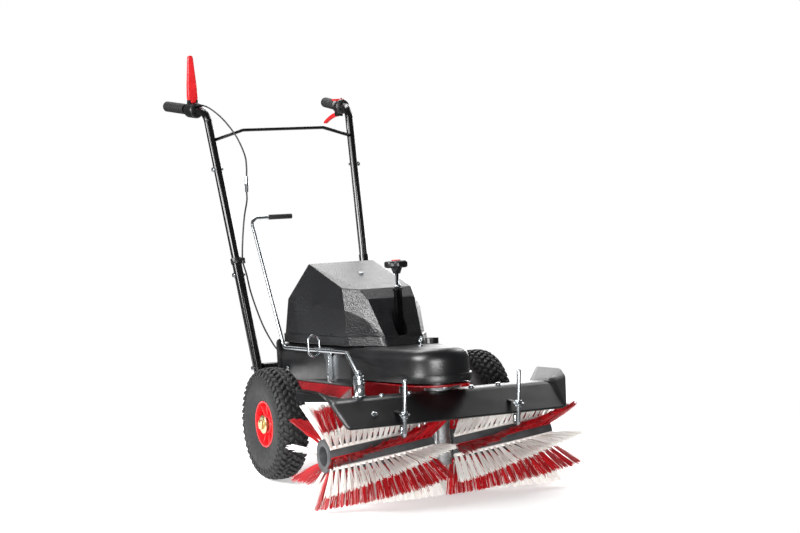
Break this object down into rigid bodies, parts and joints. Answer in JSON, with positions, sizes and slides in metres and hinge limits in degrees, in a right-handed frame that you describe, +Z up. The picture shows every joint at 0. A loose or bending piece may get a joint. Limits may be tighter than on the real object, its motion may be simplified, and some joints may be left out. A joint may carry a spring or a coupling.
{
  "type": "power brush sweeper",
  "caption": "Walk-behind power brush sweeper: swivelling cylinder brush under a guard, pneumatic wheels, hooded drive and a bent tube handle with levers.",
  "frame": {"origin": "middle of the bounding box at floor level", "axes": "+Z up, front of the machine (brush) towards -Y, +X to the right as seen from the front, and left and right in node names are as seen from the front"},
  "size_m": [0.7124, 1.4625, 1.1217],
  "materials": {
    "red_frame_paint": "satin red powder coat",
    "black_tube_paint": "satin black powder coat",
    "black_moulding": "fine grained black moulding",
    "black_sheet": "black coated sheet",
    "zinc": "bright zinc plating",
    "yellow_zinc": "yellow zinc plating",
    "tyre_rubber": "matt tyre rubber",
    "soft_rubber": "soft black rubber",
    "red_plastic": "red moulded plastic",
    "cast_aluminium": "cast aluminium",
    "core_plastic": "dark grey moulded plastic",
    "white_bristle": "translucent white nylon",
    "red_bristle": "red nylon",
    "motor_paint": "grey painted motor",
    "battery_case": "battery case"
  },
  "bodies": {
    "chassis": {"chassis_frame": "red_frame_paint", "wheel_axle": "zinc", "base_cover": "black_moulding", "hood": "black_moulding", "cover_bolts": "zinc", "eye_bolt": "zinc", "rear_bracket": "black_tube_paint", "handle_crossmember": "black_tube_paint", "lower_tube_left": "black_tube_paint", "lower_tube_right": "black_tube_paint", "upper_tube_left": "black_tube_paint", "upper_tube_right": "black_tube_paint", "crossbar": "black_tube_paint", "handle_bolts": "zinc", "grip_left": "soft_rubber", "grip_right": "soft_rubber", "clutch_bracket": "black_moulding", "trigger_bracket": "black_moulding", "bowden_cable": "soft_rubber", "cable_adjuster": "zinc", "cable_clip": "black_moulding", "rod_bracket": "zinc", "spindle_tube": "black_tube_paint", "drive_motor": "motor_paint", "battery_pack": "battery_case", "drive_belt": "soft_rubber"},
    "left_wheel": {"tyre_left": "tyre_rubber", "rim_left": "red_plastic", "hub_left": "yellow_zinc"},
    "right_wheel": {"tyre_right": "tyre_rubber", "rim_right": "red_plastic", "hub_right": "yellow_zinc"},
    "brush_head": {"gearbox": "cast_aluminium", "guard": "black_sheet", "guard_bar": "black_tube_paint", "guard_bolts": "zinc", "hook_rod_left": "zinc", "hook_rod_right": "zinc", "hook_plates": "zinc"},
    "brush": {"brush_shaft": "zinc", "brush_core_left": "core_plastic", "brush_core_right": "core_plastic", "bristles_left_white": "white_bristle", "bristles_left_red": "red_bristle", "bristles_right_white": "white_bristle", "bristles_right_red": "red_bristle"},
    "steering_rod": {"swivel_rod": "zinc", "swivel_grip": "soft_rubber"},
    "clutch": {"clutch_lever": "red_plastic"},
    "trigger": {"trigger_lever": "red_plastic"},
    "thumb": {"thumb_lever": "red_plastic"},
    "adjuster": {"height_knob": "black_moulding", "knob_cap": "red_plastic", "height_spindle": "zinc"},
    "jockey_strut": {"support_strut": "zinc"},
    "jockey_wheel": {"support_wheel": "tyre_rubber"},
    "shaft_drive": {"brush_pulley": "cast_aluminium"},
    "motor_drive": {"motor_pulley": "cast_aluminium"},
    "tensioner": {"tension_arm": "zinc"},
    "idler": {"idler_roller": "core_plastic"}
  },
  "joints": [
    {"name": "left_wheel_spin", "type": "hinge", "parent": "chassis", "child": "left_wheel", "pos_m": [-0.311, -0.22294, 0.1525], "axis": [1, 0, 0], "continuous": true},
    {"name": "right_wheel_spin", "type": "hinge", "parent": "chassis", "child": "right_wheel", "pos_m": [0.311, -0.22294, 0.1525], "axis": [1, 0, 0], "continuous": true},
    {"name": "head_swivel", "type": "hinge", "parent": "chassis", "child": "brush_head", "pos_m": [0, -0.58201, 0.286], "axis": [0, 0.1271, 0.9919], "range_deg": [-9, 9]},
    {"name": "brush_spin", "type": "hinge", "parent": "brush_head", "child": "brush", "pos_m": [0, -0.57794, 0.137], "axis": [1, 0, 0], "continuous": true},
    {"name": "rod_pivot", "type": "hinge", "parent": "brush_head", "child": "steering_rod", "pos_m": [-0.224, -0.57603, 0.33262], "axis": [0, 0.1271, 0.9919], "range_deg": [-9, 9]},
    {"name": "clutch_pull", "type": "hinge", "parent": "chassis", "child": "clutch", "pos_m": [-0.2447, 0.56706, 0.98372], "axis": [-1, 0, 0], "range_deg": [0, 68], "stiffness_Nm_per_rad": 0.3},
    {"name": "trigger_pull", "type": "hinge", "parent": "chassis", "child": "trigger", "pos_m": [0.2447, 0.58506, 0.92972], "axis": [1, 0, 0], "range_deg": [0, 10], "stiffness_Nm_per_rad": 0.5},
    {"name": "thumb_turn", "type": "hinge", "parent": "chassis", "child": "thumb", "pos_m": [0.2447, 0.55906, 0.97372], "axis": [0, 0, 1], "range_deg": [-25, 25]},
    {"name": "knob_turn", "type": "hinge", "parent": "chassis", "child": "adjuster", "pos_m": [0, -0.33857, 0.55726], "axis": [0, 0.1271, 0.9919], "range_deg": [0, 1800]},
    {"name": "jockey_slide", "type": "slide", "parent": "chassis", "child": "jockey_strut", "axis": [0, 0.1271, 0.9919], "range_m": [0, 0.02]},
    {"name": "jockey_spin", "type": "hinge", "parent": "jockey_strut", "child": "jockey_wheel", "pos_m": [0, -0.40483, 0.04], "axis": [1, 0, 0], "continuous": true},
    {"name": "pulley_spin", "type": "hinge", "parent": "chassis", "child": "shaft_drive", "pos_m": [0, -0.57642, 0.32964], "axis": [0, 0.1271, 0.9919], "continuous": true},
    {"name": "motor_spin", "type": "hinge", "parent": "chassis", "child": "motor_drive", "pos_m": [0, -0.27686, 0.29127], "axis": [0, 0.1271, 0.9919], "continuous": true},
    {"name": "tension_swing", "type": "hinge", "parent": "chassis", "child": "tensioner", "pos_m": [0.073, -0.34426, 0.31603], "axis": [0, -0.1271, -0.9919], "range_deg": [0, 9]},
    {"name": "idler_spin", "type": "hinge", "parent": "tensioner", "child": "idler", "pos_m": [0.069, -0.4053, 0.31175], "axis": [0, 0.1271, 0.9919], "continuous": true}
  ],
  "couplings": [
    {"joint": "rod_pivot", "follows": "head_swivel", "ratio": -1},
    {"joint": "knob_turn", "follows": "jockey_slide", "rad_per_m": 1570.8},
    {"joint": "pulley_spin", "follows": "brush_spin", "ratio": 12},
    {"joint": "motor_spin", "follows": "brush_spin", "ratio": 21.75},
    {"joint": "tension_swing", "follows": "clutch_pull", "ratio": 0.13235},
    {"joint": "idler_spin", "follows": "brush_spin", "ratio": -49.714}
  ]
}
